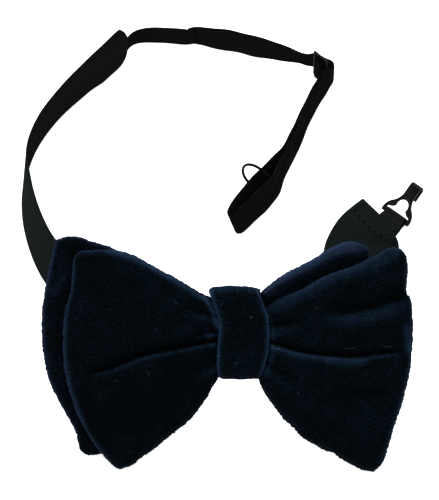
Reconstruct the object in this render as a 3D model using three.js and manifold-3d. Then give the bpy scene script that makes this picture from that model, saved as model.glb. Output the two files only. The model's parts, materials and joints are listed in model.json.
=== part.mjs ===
// A ready-tied velvet bow tie lying on a table, in millimetres, +Z up.
// The bow leans back on its strap, and the strap stands on its edge in a wide loop behind it.
// The origin is on the table, under the middle of the whole thing.

import * as THREE from 'three';
import { mergeVertices } from 'three/addons/utils/BufferGeometryUtils.js';
import Module from 'manifold-3d';

const wasm = await Module();
wasm.setup();

// Driving dimensions

// Gap between touching layers, and a closer one where a tape hugs a metal bar
const GAP = 0.3;
const HUG = 0.25;

// Middle of the knot's back wall, seen from the origin
const KNOT_BACK = { x: 6.32, y: -59.46, z: 23.2 };
const BOW_LEAN = 40;

// Knot: endHalf and middleHalf are half its span across the bow, at its ends and at mid-height
const KNOT = {
  height: 30.4, depth: 17.8, wall: 1.8, middle: 0.4, endHalf: 7.1, middleHalf: 9.9,
  corner: 3, innerCorner: 1.2, bulge: 0.9,
};
const PINCH = { top: 12.8, bottom: -12.2, columns: 2 };
// Bow layers: they meet at the split, measured from the knot's back.
// Top and bottom rims, the outer edge and the pinch each round off over a share of the wing.
const LAYER_SPLIT = 9.15;
const LAYER = {
  rimHeight: 3.0, crown: 3.2, undercut: 0.9, rimShare: 0.29, edgeShare: 0.31, pinchShare: 0.33,
  creaseReach: 1.4, columns: 21, rows: 16,
};
const PINCH_HEIGHT = { back: 4.9, front: 6.3 };

const NECKBAND = { width: 20, thickness: 1.5 };
const TAPE = { width: 8.5, thickness: 0.8 };
const ADJUSTER = { width: 9.2, thickness: 0.8 };

const SLIDE = { bar: 0.8, pitch: 3.6, tall: 12.1, middle: { x: 31.5, y: 142.8 }, heading: -49.5 };
const RING = { outer: 6.6, inner: 5.6, thick: 0.9, middle: { x: 6.5, y: 86.5 }, heading: 145 };

const HOOK = { thick: 0.9, bar: { x: 57.4, y: 71.3, z: 2.2 }, barHalf: 0.6, heading: 46, rise: 35 };
const TAB = { width: 9.2, thickness: 0.8, tail: 7 };

// Materials

const velvet = (color) => new THREE.MeshStandardMaterial({ color, roughness: 0.95, metalness: 0 });
const MATERIALS = {
  velvet: velvet('#0a1026'),
  velvetKnot: velvet('#090e20'),
  twill: new THREE.MeshStandardMaterial({ color: '#12100f', roughness: 0.9, metalness: 0 }),
  tape: new THREE.MeshStandardMaterial({ color: '#0f0e11', roughness: 0.88, metalness: 0 }),
  enamel: new THREE.MeshStandardMaterial({ color: '#0b0b0d', roughness: 0.35, metalness: 0.6 }),
};

// Shared helpers

const radians = THREE.MathUtils.degToRad;
const upwards = new THREE.Vector3(0, 0, 1);
const smooth = (t) => t * t * (3 - 2 * t);
const clamp = THREE.MathUtils.clamp;
const table = (columns, rows) =>
  rows.map((row) => Object.fromEntries(columns.map((name, i) => [name, row[i]])));

// One closed body: shared corners are joined, so that only positions are left.
function closed(geometry) {
  geometry.deleteAttribute('normal');
  geometry.deleteAttribute('uv');
  return mergeVertices(geometry, 1e-3);
}

function solid(geometry) {
  const merged = closed(geometry);
  return new wasm.Manifold(new wasm.Mesh({
    numProp: 3,
    vertProperties: new Float32Array(merged.attributes.position.array),
    triVerts: new Uint32Array(merged.index.array),
  }));
}

function surface(body) {
  const mesh = body.getMesh();
  const geometry = new THREE.BufferGeometry();
  geometry.setAttribute('position', new THREE.BufferAttribute(mesh.vertProperties, 3));
  geometry.setIndex(new THREE.BufferAttribute(mesh.triVerts, 1));
  return geometry;
}

function piece(name, geometry, material) {
  const mesh = new THREE.Mesh(closed(geometry), material);
  mesh.name = name;
  return mesh;
}

// Woven bands and tapes: a flat strip of a given width and thickness, carried along a route.
// Each station has the middle of the strip, the direction from its lower edge to its upper one
// and, where the strip is stretched, its own width.

const STATION = ['x', 'y', 'z', 'ax', 'ay', 'az', 'width'];
const route = (width, rows) =>
  table(STATION, rows.map((row) => (row.length < STATION.length ? [...row, width] : row)));

function spline(stations, perStretch) {
  const middle = new THREE.CatmullRomCurve3(stations.map((s) => new THREE.Vector3(s.x, s.y, s.z)));
  const across = new THREE.CatmullRomCurve3(stations.map((s) => new THREE.Vector3(s.ax, s.ay, s.az)));
  const width = new THREE.CatmullRomCurve3(stations.map((s) => new THREE.Vector3(s.width, 0, 0)));
  const count = (stations.length - 1) * perStretch;
  return Array.from({ length: count + 1 }, (_, i) => ({
    at: middle.getPoint(i / count),
    across: across.getPoint(i / count).normalize(),
    width: width.getPoint(i / count).x,
  }));
}

function strip(frames, thickness) {
  const last = frames.length - 1;
  const geometry = new THREE.BoxGeometry(last, 1, thickness, last, 1, 1);
  const place = geometry.attributes.position;
  frames.forEach((frame, i) => {
    const before = frames[Math.max(i - 1, 0)].at;
    const after = frames[Math.min(i + 1, last)].at;
    frame.normal = after.clone().sub(before).cross(frame.across).normalize();
  });
  for (let i = 0; i < place.count; i++) {
    const frame = frames[Math.round(place.getX(i) + last / 2)];
    const point = frame.at.clone()
      .addScaledVector(frame.across, place.getY(i) * frame.width)
      .addScaledVector(frame.normal, place.getZ(i));
    place.setXYZ(i, point.x, point.y, point.z);
  }
  return geometry;
}

// Bow layers: a butterfly of velvet, pinched in the middle and padded towards its wings.
// Each wing has four border curves, from the pinch out and round, in the plane of the bow.

const WINGS = {
  frontLeft: {
    top: [[-8.1, 11.9], [-12.1, 13.8], [-19.4, 17.7], [-30, 23.5], [-38.8, 27.9], [-47.6, 29], [-56.4, 28.2]],
    outer: [
      [-56.4, 28.2], [-58.4, 14.1], [-60.6, 4], [-60.9, -6.4], [-59.3, -18.6], [-54, -31], [-47, -42.1],
      [-42, -46.8],
    ],
    bottom: [
      [-8.1, -11.4], [-9.4, -17], [-11.4, -21.7], [-17.7, -30.1], [-25.9, -36.6], [-34.1, -42.8],
      [-42, -46.8],
    ],
  },
  frontRight: {
    top: [[8.1, 8.2], [15.5, 13.4], [27.2, 18.8], [37.8, 23.2], [47.2, 27.5], [56, 28.6]],
    outer: [
      [56, 28.6], [57.9, 21.5], [57.3, 15.2], [59.4, 6], [59.4, -2], [58.6, -12.3], [56, -23.4], [52, -36],
      [46.6, -47.2],
    ],
    bottom: [
      [8.1, -11.4], [9.2, -17.6], [11.4, -24.5], [18.4, -32.4], [25.5, -38.1], [34.8, -43.1], [46.6, -47.2],
    ],
  },
  backLeft: {
    top: [[-8.1, 11.6], [-19, 16.5], [-32, 23.4], [-42.9, 29.1], [-51.1, 31.9], [-63.4, 32.8]],
    outer: [
      [-63.4, 32.8], [-66.2, 22], [-67.8, 12.4], [-68.5, -0.5], [-67.2, -11], [-64, -21], [-58, -32],
      [-53, -41.6],
    ],
    bottom: [[-8.1, -11.4], [-9.6, -16.5], [-14, -22.5], [-22, -29], [-32, -35.5], [-42, -40], [-53, -41.6]],
  },
  backRight: {
    top: [[8.1, 12], [12.6, 18.8], [21.4, 23.8], [30.2, 29.1], [37.8, 31.6], [44.6, 29]],
    outer: [[44.6, 29], [49.5, 20], [52, 10], [53, 0], [52, -12], [49, -24], [43, -38]],
    bottom: [[8.1, -11.4], [9.4, -17], [12.5, -23], [18, -28.5], [26, -33.5], [34, -37], [43, -38]],
  },
};

// Creases and ridges of the front layer: depth is into the velvet, and a ridge has a negative one.
const FOLDS = table(['side', 'route', 'depth', 'width'], [
  ['left', [[-8, -2.8], [-21, -5.2], [-33, -8.4], [-47, -12.6], [-55, -13]], 2.4, 1.9],
  ['left', [[-9, -1], [-30, -2], [-50, -6]], -1.0, 5],
  ['left', [[-22, -8.5], [-40, -13.5], [-50, -16]], -0.7, 2.4],
  ['right', [[10.6, -3.4], [15.5, -5.2], [27, -6.4], [39, -7.6], [46, -6.4], [54, -6]], 2.0, 1.9],
  ['right', [[33, 9], [39, 9], [48, 10], [57, 14]], 1.6, 2.2],
  ['right', [[34, 6], [46, 8.6], [59, 11.5]], -0.8, 2.2],
  ['right', [[12, -5.2], [24, -8.6], [40, -10.2]], -0.6, 2.2],
]);

function distanceToRoute(u, v, route) {
  let best = Infinity;
  for (let i = 0; i + 1 < route.length; i++) {
    const [u0, v0] = route[i];
    const [du, dv] = [route[i + 1][0] - u0, route[i + 1][1] - v0];
    const t = clamp(((u - u0) * du + (v - v0) * dv) / (du * du + dv * dv), 0, 1);
    best = Math.min(best, Math.hypot(u - u0 - t * du, v - v0 - t * dv));
  }
  return best;
}

function foldDepth(u, v) {
  const side = u < 0 ? 'left' : 'right';
  return FOLDS.filter((fold) => fold.side === side).reduce((sum, fold) => {
    const across = distanceToRoute(u, v, fold.route) / fold.width;
    return sum + fold.depth * Math.exp(-(across ** 2));
  }, 0);
}

const borderCurve = (points) =>
  new THREE.CatmullRomCurve3(points.map(([u, v]) => new THREE.Vector3(u, v, 0)), false, 'centripetal');

// A point of a wing between its borders: out runs from the pinch to the outer edge, up from bottom to top.
function wingPoint(curves, out, up) {
  const top = curves.top.getPointAt(out);
  const bottom = curves.bottom.getPointAt(out);
  const outer = curves.outer.getPointAt(1 - up);
  const corners = {
    innerTop: curves.top.getPointAt(0), innerBottom: curves.bottom.getPointAt(0),
    outerTop: curves.top.getPointAt(1), outerBottom: curves.bottom.getPointAt(1),
  };
  const inner = corners.innerBottom.clone().lerp(corners.innerTop, up);
  const flatInner = inner.clone().multiplyScalar(1 - out);
  const flatOuter = corners.outerBottom.clone().lerp(corners.outerTop, up).multiplyScalar(out);
  return bottom.lerp(top, up)
    .add(inner.multiplyScalar(1 - out)).add(outer.multiplyScalar(out))
    .sub(flatInner).sub(flatOuter);
}

// A layer runs from its left wing through the pinched columns under the knot to its right wing.
function layer(left, right, faceUp) {
  const curvesOf = (wing) => ({
    top: borderCurve(wing.top), outer: borderCurve(wing.outer), bottom: borderCurve(wing.bottom),
  });
  const wings = { left: curvesOf(left), right: curvesOf(right) };
  const { columns, rows } = LAYER;
  const total = 2 * (columns + PINCH.columns);
  const geometry = new THREE.BoxGeometry(total, rows, 1, total, rows, 1);
  const place = geometry.attributes.position;
  for (let i = 0; i < place.count; i++) {
    const column = place.getX(i);
    const up = place.getY(i) / rows + 0.5;
    const beyond = Math.abs(column) - PINCH.columns;
    const out = clamp(beyond / columns, 0, 1);
    const point = wingPoint(column < 0 ? wings.left : wings.right, out, up);
    if (beyond < 0) {
      const waist = new THREE.Vector3(0, THREE.MathUtils.lerp(PINCH.bottom, PINCH.top, up), 0);
      point.lerp(waist, -beyond / PINCH.columns);
    }
    const height = layerHeight(point, out, up, place.getZ(i) > 0, faceUp);
    place.setXYZ(i, point.x, point.y, height);
  }
  return geometry;
}

// Height over the knot's back: one face lies on its neighbour layer, the other one is padded and creased.
function layerHeight(point, out, up, isFront, faceUp) {
  const rim = Math.min(1, Math.min(up, 1 - up) / LAYER.rimShare);
  const side = Math.min(1, (1 - out) / LAYER.edgeShare);
  const padded = Math.sqrt((1 - (1 - rim) ** 2) * (1 - (1 - side) ** 2));
  const fromPinch = smooth(Math.min(1, out / LAYER.pinchShare));
  const rounded = LAYER.undercut * (1 - padded) * fromPinch;
  const direction = faceUp ? 1 : -1;
  const near = LAYER_SPLIT + direction * GAP / 2;
  if (isFront !== faceUp) return near + direction * rounded;
  const pinch = faceUp ? PINCH_HEIGHT.front : PINCH_HEIGHT.back;
  const body = THREE.MathUtils.lerp(pinch, LAYER.rimHeight, fromPinch);
  const swell = fromPinch * LAYER.crown * padded;
  const creased = faceUp && out > 0 ? Math.min(1, padded * LAYER.creaseReach) : 0;
  const crease = creased * foldDepth(point.x, point.y);
  return near + direction * (body + swell - crease - rounded);
}

// Knot: a band of velvet sewn round the pinch, square behind and rounded in front

function knotGeometry() {
  const { height, depth, wall, middle, corner, innerCorner } = KNOT;
  const trace = (path, inset, r) => {
    const [low, high] = [middle - height / 2 + inset, middle + height / 2 - inset];
    const [back, front] = [inset, depth - inset];
    path.moveTo(low + r, back);
    path.lineTo(high - r, back);
    path.quadraticCurveTo(high, back, high, back + r);
    path.lineTo(high, front - r);
    path.quadraticCurveTo(high, front, high - r, front);
    path.lineTo(low + r, front);
    path.quadraticCurveTo(low, front, low, front - r);
    path.lineTo(low, back + r);
    path.quadraticCurveTo(low, back, low + r, back);
    return path;
  };
  const shape = trace(new THREE.Shape(), 0, corner);
  shape.holes.push(trace(new THREE.Path(), wall, innerCorner));
  const settings = { depth: 2, steps: 10, curveSegments: 4, bevelEnabled: false };
  const geometry = new THREE.ExtrudeGeometry(shape, settings).translate(0, 0, -1);
  const place = geometry.attributes.position;
  // The shape lies in height and depth, and is drawn out across the bow, wider in front and at mid-height.
  for (let i = 0; i < place.count; i++) {
    const [v, w] = [place.getX(i), place.getY(i)];
    const side = place.getZ(i);
    const lift = 1 - ((v - middle) / (height / 2)) ** 2;
    const reach = KNOT.endHalf + (KNOT.middleHalf - KNOT.endHalf) * lift;
    const bulge = w > depth / 2 ? KNOT.bulge * lift * (1 - side * side) : 0;
    place.setXYZ(i, side * reach, v, w + bulge);
  }
  return geometry;
}

// Neckband: from the hem above the hook, flat on the table, up behind the knot and round to the left

const NECKBAND_STATIONS = route(NECKBAND.width, [
  [51.8, 71.4, 3.2, -0.6, 0.8, 0],
  [49.4, 68.5, 3.15, -0.74, 0.67, 0, 20.8],
  [47.2, 64.6, 2.7, -0.9, 0.42, 0, 23.6],
  [45.2, 58.8, 1.0, -0.985, 0.16, 0.05, 26.6],
  [43, 50, 2.2, -0.97, 0.12, 0.14, 26],
  [38, 37.5, 7.2, -0.72, 0.55, 0.32, 22],
  [30.5, 22, 14.0, -0.4, 0.76, 0.48],
  [22, 8.5, 20.2, -0.16, 0.78, 0.6],
  [14, 1.2, 23.6, -0.03, 0.766, 0.643],
  [9, -1.8, 25.4, 0, 0.766, 0.643],
  [0, -1.8, 25.4, 0, 0.766, 0.643],
  [-9, -1.8, 25.4, 0, 0.766, 0.643],
  [-14, 0.2, 24.0, 0.03, 0.766, 0.643],
  [-24, 5, 21.4, 0.14, 0.74, 0.65],
  [-38, 13.5, 17.4, 0.22, 0.62, 0.75],
  [-54, 27.5, 12.5, 0.28, 0.4, 0.87],
  [-67.4, 43.2, 9.6, 0.28, 0.15, 0.95],
  [-73.7, 57.5, 9.7, 0.25, 0.07, 0.96],
  [-77.6, 74.1, 9.85, 0.19, 0.02, 0.98],
  [-78.4, 90, 9.97, 0.09, -0.01, 0.99],
  [-74.9, 105.3, 9.97, 0.09, -0.04, 0.99],
  [-67.2, 120.4, 9.95, 0.09, -0.06, 0.99],
  [-57.3, 133.9, 10.02, 0.04, -0.03, 1],
  [-49.4, 143.9, 10.05, 0, 0, 1],
  [-44.4, 151.4, 10.05, 0, 0, 1],
]);

function neckbandGeometry() {
  const frames = spline(NECKBAND_STATIONS, 3);
  frames.forEach((frame) => { frame.at.z = Math.max(frame.at.z, bandRest(frame)); });
  return strip(frames, NECKBAND.thickness);
}

// Lowest height of a strip's middle at which its lower edge is still on the table
function bandRest(frame) {
  const { x, y, z } = frame.across;
  return Math.abs(z) * frame.width / 2 + Math.hypot(x, y) * NECKBAND.thickness / 2;
}

// Plain tape, sewn inside the band's left end, that carries the adjuster

const TAPE_STATIONS = route(TAPE.width, [
  [-51.4, 138.1, 4.8, 0, 0, 1],
  [-48.1, 143.0, 4.7, 0, 0, 1],
  [-43.1, 150.5, 4.5, 0, 0, 1],
  [-40.9, 156.2, 4.3, 0, 0, 1],
  [-37.6, 160.4, 4.3, 0, 0.05, 1],
  [-32, 161.8, 4.3, 0, 0.05, 1],
  [-25, 161.2, 4.3, 0, 0.02, 1],
  [-14.6, 159.7, 4.3, 0, 0, 1],
]);

// Adjuster tape: from the lap joint through the slide, down to its fold and back round the slide's middle bar

const UPPER_RUN = route(ADJUSTER.width, [
  [-17.6, 161.6, 4.8, 0, 0, 1],
  [-14.2, 161.2, 4.8, 0, 0.02, 1],
  [-9.5, 160.2, 4.8, 0, 0.18, 1],
  [-2.2, 158.1, 4.8, 0, 0.24, 1],
  [5.8, 155.5, 4.8, 0, 0.24, 1],
  [14.3, 152.8, 5.2, 0, 0.1, 1],
  [21.5, 150.2, 5.8, 0, -0.04, 1],
]);

const INNER_RUN = route(ADJUSTER.width, [
  [32.6, 136.4, 6.0, -0.12, 0.03, 1],
  [29.4, 130, 5.4, -0.16, 0.06, 1],
  [26.4, 123, 4.9, -0.16, 0.06, 1],
  [23.4, 115, 4.8, -0.16, 0.06, 1],
  [20.2, 106.5, 5.0, -0.15, 0.06, 1],
  [17, 98.6, 5.6, -0.13, 0.06, 1],
  [12.6, 92.2, 6.1, -0.06, 0.04, 1],
  [8.2, 86.5, 6.15, -0.02, 0.02, 1],
  [4.2, 80.8, 6.0, -0.12, 0.08, 1],
  [0.6, 74.6, 5.6, -0.24, 0.16, 1],
  [-2.0, 69.8, 4.9, -0.32, 0.2, 1],
  [-2.7, 67.2, 4.8, -0.36, 0.2, 1],
  [-2.1, 65.6, 4.8, -0.36, 0.2, 1],
  [-0.9, 65.6, 4.8, -0.36, 0.2, 1],
  [1.4, 67.9, 4.8, -0.32, 0.2, 1],
  [5.6, 72.8, 4.8, -0.22, 0.14, 1],
  [9.9, 77.9, 4.8, -0.18, 0.1, 1],
  [13.7, 83.7, 4.8, -0.16, 0.08, 1],
  [16.3, 91.4, 4.8, -0.16, 0.06, 1],
  [19.2, 98.9, 4.8, -0.16, 0.06, 1],
  [21.8, 106.4, 4.9, -0.16, 0.06, 1],
  [24.8, 114.6, 4.9, -0.16, 0.06, 1],
  [27.8, 122.6, 4.9, -0.16, 0.06, 1],
  [30.8, 129.5, 5.4, -0.16, 0.06, 1],
  [34.0, 136.0, 6.0, -0.12, 0.03, 1],
]);

// Directions of the slide: along its short sides, and out of the loop
const slideAlong = new THREE.Vector3(Math.cos(radians(SLIDE.heading)), Math.sin(radians(SLIDE.heading)), 0);
const slideOut = new THREE.Vector3(-slideAlong.y, slideAlong.x, 0);
const slidePoint = (along, out, z) => new THREE.Vector3(SLIDE.middle.x, SLIDE.middle.y, z)
  .addScaledVector(slideAlong, along).addScaledVector(slideOut, out);

// Frames round one of the slide's upright bars, from one angle to another, in steps of 30 degrees or less
function wrap(barAlong, radius, from, to) {
  const steps = Math.max(1, Math.ceil(Math.abs(to - from) / 30));
  return Array.from({ length: steps + 1 }, (_, i) => {
    const angle = radians(from + (to - from) * i / steps);
    return {
      at: slidePoint(barAlong + radius * Math.cos(angle), radius * Math.sin(angle), SLIDE.tall / 2),
      across: new THREE.Vector3(0, 0, 1),
      width: ADJUSTER.width,
    };
  });
}

function adjusterGeometry() {
  const close = Math.hypot(SLIDE.bar, SLIDE.bar) / 2 + HUG + ADJUSTER.thickness / 2;
  const outer = close + ADJUSTER.thickness + GAP;
  const frames = [
    ...spline(UPPER_RUN, 2),
    ...wrap(-SLIDE.pitch, close, 115, 25),
    ...wrap(0, outer, 200, 340),
    ...wrap(SLIDE.pitch, close, 155, 25),
    ...spline(INNER_RUN, 2),
    ...wrap(SLIDE.pitch, outer, 25, 105),
    ...wrap(0, close, 80, 335),
  ];
  return strip(frames, ADJUSTER.thickness);
}

// Slide: a ladder of three upright bars between two short sides

function slideGeometry() {
  const { bar, pitch, tall } = SLIDE;
  const box = (wide, high, deep, along) =>
    new THREE.BoxGeometry(wide, deep, high).translate(along, 0, tall / 2);
  let body = solid(box(2 * pitch + bar, tall, bar, 0));
  for (const side of [-1, 1]) {
    body = body.subtract(solid(box(pitch - bar, tall - 2 * bar, 2 * bar, side * pitch / 2)));
  }
  return surface(body)
    .rotateZ(radians(SLIDE.heading))
    .translate(SLIDE.middle.x, SLIDE.middle.y, 0);
}

// Eye ring: a flat ring standing across the inner tape

function ringGeometry() {
  const shape = new THREE.Shape().absarc(0, 0, RING.outer, 0, 2 * Math.PI);
  shape.holes.push(new THREE.Path().absarc(0, 0, RING.inner, 0, 2 * Math.PI));
  const settings = { depth: RING.thick, curveSegments: 18, bevelEnabled: false };
  const geometry = new THREE.ExtrudeGeometry(shape, settings);
  geometry.translate(0, 0, -RING.thick / 2);
  geometry.rotateX(Math.PI / 2);
  geometry.rotateZ(radians(RING.heading));
  geometry.translate(RING.middle.x, RING.middle.y, RING.outer);
  return geometry;
}

// Hook: a stamped plate with ears, a bar for the tab, a keyhole for the eye and a tongue bent back

const HOOK_OUTLINE = { ear: 6.4, earTop: 2.9, shoulder: 3.1, shoulderTop: 6.2, tongue: 2.3, tip: 12.7 };
const TONGUE = { bend: 1.2, back: 4.2 };
const HOOK_SLOT = { half: 5.1, top: 2.5, fang: 2.3, keyhole: 2.5, keyholeMiddle: 4.6 };

function hookGeometry() {
  const o = HOOK_OUTLINE;
  const s = HOOK_SLOT;
  const bottom = -HOOK.barHalf;
  const shape = new THREE.Shape();
  shape.moveTo(-o.ear + 0.8, bottom);
  shape.lineTo(o.ear - 0.8, bottom);
  shape.quadraticCurveTo(o.ear, bottom, o.ear, bottom + 1);
  shape.quadraticCurveTo(o.ear, o.earTop, o.shoulder + 1.4, o.earTop + 1.8);
  shape.quadraticCurveTo(o.shoulder, o.shoulderTop - 0.6, o.tongue, o.shoulderTop + 2.2);
  shape.lineTo(o.tongue, o.tip);
  shape.lineTo(-o.tongue, o.tip);
  shape.lineTo(-o.tongue, o.shoulderTop + 2.2);
  shape.quadraticCurveTo(-o.shoulder, o.shoulderTop - 0.6, -o.shoulder - 1.4, o.earTop + 1.8);
  shape.quadraticCurveTo(-o.ear, o.earTop, -o.ear, bottom + 1);
  shape.quadraticCurveTo(-o.ear, bottom, -o.ear + 0.8, bottom);
  const hole = new THREE.Path();
  const slotBottom = HOOK.barHalf;
  const meet = Math.asin(s.fang / s.keyhole);
  const fangTop = s.keyholeMiddle - s.keyhole * Math.cos(meet);
  hole.moveTo(-s.half, slotBottom);
  hole.lineTo(-s.half, s.top - 0.5);
  hole.lineTo(-s.fang - 1.2, s.top);
  hole.lineTo(-s.fang, fangTop);
  hole.absarc(0, s.keyholeMiddle, s.keyhole, Math.PI * 1.5 - meet, meet - Math.PI / 2, true);
  hole.lineTo(s.fang + 1.2, s.top);
  hole.lineTo(s.half, s.top - 0.5);
  hole.lineTo(s.half, slotBottom);
  shape.holes.push(hole);
  const settings = { depth: HOOK.thick, curveSegments: 8, bevelEnabled: false };
  const plate = new THREE.ExtrudeGeometry(shape, settings).translate(0, 0, -HOOK.thick / 2);
  return surface(solid(plate).add(solid(tongueGeometry())));
}

// The tongue's end, bent down round an arc and back under the plate
function tongueGeometry() {
  const { bend, back } = TONGUE;
  const across = new THREE.Vector3(-1, 0, 0);
  const stations = [{ y: HOOK_OUTLINE.tip - 1, z: 0 }];
  for (let angle = 90; angle >= -90; angle -= 22.5) {
    stations.push({
      y: HOOK_OUTLINE.tip + bend * Math.cos(radians(angle)),
      z: -bend + bend * Math.sin(radians(angle)),
    });
  }
  stations.push({ y: HOOK_OUTLINE.tip - back, z: -2 * bend });
  const frames = stations.map(({ y, z }) => ({
    at: new THREE.Vector3(0, y, z), across, width: 2 * HOOK_OUTLINE.tongue,
  }));
  return strip(frames, HOOK.thick);
}

// Hook frame: the bar's middle at the origin, the tongue along +Y and the plate's upper face along +Z
function placeHook(object) {
  const rise = new THREE.Quaternion().setFromAxisAngle(new THREE.Vector3(1, 0, 0), radians(HOOK.rise));
  const turn = new THREE.Quaternion().setFromAxisAngle(upwards, radians(HOOK.heading - 90));
  object.quaternion.copy(turn.multiply(rise));
  object.position.set(HOOK.bar.x, HOOK.bar.y, HOOK.bar.z);
  return object;
}

// Tab: ribbed tape that lies flat under the band's hem and folds round the hook's bar

function tabGeometry() {
  const rise = radians(HOOK.rise);
  const forward = new THREE.Vector3(1, 0, 0).applyAxisAngle(upwards, radians(HOOK.heading));
  const across = new THREE.Vector3(-forward.y, forward.x, 0);
  const lift = HOOK.thick / 2 + HUG + TAB.thickness / 2;
  const round = HOOK.barHalf + GAP + TAB.thickness / 2;
  const inPlate = (along, over) => ({
    h: along * Math.cos(rise) - over * Math.sin(rise),
    z: HOOK.bar.z + along * Math.sin(rise) + over * Math.cos(rise),
  });
  const profile = [
    { h: -TAB.tail, z: 1.5 }, { h: -5, z: 1.55 }, { h: -3.4, z: 1.95 }, { h: -2.1, z: 2.55 },
    inPlate(-HOOK.barHalf, lift), inPlate(0.3, lift), inPlate(1.1, lift * 0.85), inPlate(round, 0.4),
    inPlate(round, -0.4), inPlate(1.1, -lift * 0.85), inPlate(0.3, -lift),
    { h: 0.3, z: 0.85 }, { h: -1.2, z: 0.55 }, { h: -3.6, z: 0.42 }, { h: -TAB.tail, z: 0.42 },
  ];
  const frames = profile.map(({ h, z }) => ({
    at: new THREE.Vector3(HOOK.bar.x, HOOK.bar.y, z).addScaledVector(forward, h),
    across,
    width: TAB.width,
  }));
  return strip(frames, TAB.thickness);
}

// The whole bow tie

const bow = new THREE.Group();
bow.rotation.x = radians(BOW_LEAN);
bow.position.z = KNOT_BACK.z;
bow.add(
  piece('bow_back', layer(WINGS.backLeft, WINGS.backRight, false), MATERIALS.velvet),
  piece('bow_front', layer(WINGS.frontLeft, WINGS.frontRight, true), MATERIALS.velvet),
  piece('knot', knotGeometry(), MATERIALS.velvetKnot),
);

const bowTie = new THREE.Group();
bowTie.position.set(KNOT_BACK.x, KNOT_BACK.y, 0);
bowTie.add(
  bow,
  piece('neckband', neckbandGeometry(), MATERIALS.twill),
  piece('band_tape', strip(spline(TAPE_STATIONS, 2), TAPE.thickness), MATERIALS.tape),
  piece('adjuster_tape', adjusterGeometry(), MATERIALS.tape),
  piece('slide', slideGeometry(), MATERIALS.enamel),
  piece('eye_ring', ringGeometry(), MATERIALS.enamel),
  placeHook(piece('hook', hookGeometry(), MATERIALS.enamel)),
  piece('hook_tab', tabGeometry(), MATERIALS.tape),
);

export default bowTie;
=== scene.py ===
"""Velvet bow tie: the finish of a ready-tied bow tie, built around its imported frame."""

import json
import math

import bmesh
import bpy
import numpy as np
from bpy.props import FloatProperty, FloatVectorProperty, IntProperty, PointerProperty
from mathutils import Matrix, Vector
from mathutils.bvhtree import BVHTree


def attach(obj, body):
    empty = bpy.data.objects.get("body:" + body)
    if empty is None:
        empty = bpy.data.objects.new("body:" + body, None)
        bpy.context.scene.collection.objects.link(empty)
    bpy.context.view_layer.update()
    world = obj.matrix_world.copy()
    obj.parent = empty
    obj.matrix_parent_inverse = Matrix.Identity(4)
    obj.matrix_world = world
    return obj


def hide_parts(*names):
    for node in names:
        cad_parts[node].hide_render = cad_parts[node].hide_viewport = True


bl_info = {
    "name": "Velvet Bow Tie",
    "version": (1, 0, 0),
    "blender": (4, 5, 0),
    "location": "3D View > Sidebar > Bow Tie",
    "description": "Dresses the frame of a velvet bow tie in velvet, twill, tape and enamel",
    "category": "Object",
}

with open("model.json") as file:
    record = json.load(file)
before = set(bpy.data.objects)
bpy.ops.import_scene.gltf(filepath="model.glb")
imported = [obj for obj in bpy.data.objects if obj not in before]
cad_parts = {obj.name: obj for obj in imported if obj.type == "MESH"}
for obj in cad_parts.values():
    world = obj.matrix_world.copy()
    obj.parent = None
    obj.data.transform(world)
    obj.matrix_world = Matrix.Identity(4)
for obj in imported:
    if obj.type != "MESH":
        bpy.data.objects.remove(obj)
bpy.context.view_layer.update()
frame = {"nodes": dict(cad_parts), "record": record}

MM = 0.001
BODY = "root"

# The bow's own directions, from the flat back of its knot: across it, up it and out of its face
KNOT_BACK = next(mount for mount in frame["record"]["mounts"] if mount["name"] == "knot_back")
BOW_START = np.array(KNOT_BACK["pos_m"])
BOW_OUT = -np.array(KNOT_BACK["axis"])
BOW_ACROSS = np.array([1.0, 0.0, 0.0])
BOW_UP = np.cross(BOW_OUT, BOW_ACROSS)

# The strap is laid out from the spot on the table under the back of the knot
KNOT_FOOT = BOW_START * (1, 1, 0)


def linear(hex_colour):
    """An sRGB colour such as #0A1026 as linear red, green and blue."""
    shares = [int(hex_colour[i:i + 2], 16) / 255 for i in (1, 3, 5)]
    return tuple(c / 12.92 if c <= 0.04045 else ((c + 0.055) / 1.055) ** 2.4 for c in shares)


# Sizes and colours a user would change

def size(name, description, millimetres):
    return FloatProperty(
        name=name, description=description, default=millimetres * MM, min=0, unit="LENGTH")


def colour(name, description, hex_colour):
    return FloatVectorProperty(
        name=name, description=description, default=linear(hex_colour), min=0, max=1, size=3,
        subtype="COLOR")


class BowSettings(bpy.types.PropertyGroup):
    rim: size("Rim", "Radius of the rolled rim round each layer", 2.4)
    crown: size("Crown", "How far the padding swells a wing beyond its rims", 2.6)
    pile: size("Pile", "Unevenness of the velvet's pile", 0.055)
    # The first colour is the velvet's own, with the pile standing; the next three are painted: a painted
    # highlight on rims and ridges, painted shade deep in folds, and a more purple painted highlight of the
    # back layer
    nap_and_painted_light: colour("Nap", "Velvet looked at from above, with the pile standing", "#030709")
    spread: colour("Spread nap", "Velvet on rims and ridges, where the pile opens", "#122030")
    shadow: colour("Shadow", "Velvet deep in a fold", "#010203")
    violet_painted_highlight: colour("Violet nap", "Opened pile of the back layer, which catches more sky", "#192336")
    sheen: colour("Sheen", "Light caught by the tips of the pile", "#6C86B4")
    columns: IntProperty(name="Columns", description="Mesh columns along a layer", default=270, min=40)
    rows: IntProperty(name="Rows", description="Mesh rows across a layer", default=172, min=20)


class StrapSettings(bpy.types.PropertyGroup):
    band_width: size("Band width", "Width of the neckband where it stands", 20)
    band_thickness: size("Band thickness", "Thickness of the doubled neckband", 0.9)
    end_round: size("End round", "How far the band's left end is cut back at its edges", 4)
    tape_thickness: size("Tape thickness", "Thickness of the tapes", 0.8)
    twill: colour("Twill", "Outer face of the neckband", "#111615")
    lining: colour("Lining", "Inner face of the neckband", "#101010")
    tape: colour("Tape", "Ribbed tape", "#0B0C0C")
    # Painted light: the tape's inner face is drawn lighter and a little more purple
    tape_inside_painted_light: colour("Tape inside", "Inner face of the tape, a little more purple", "#100E11")


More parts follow.
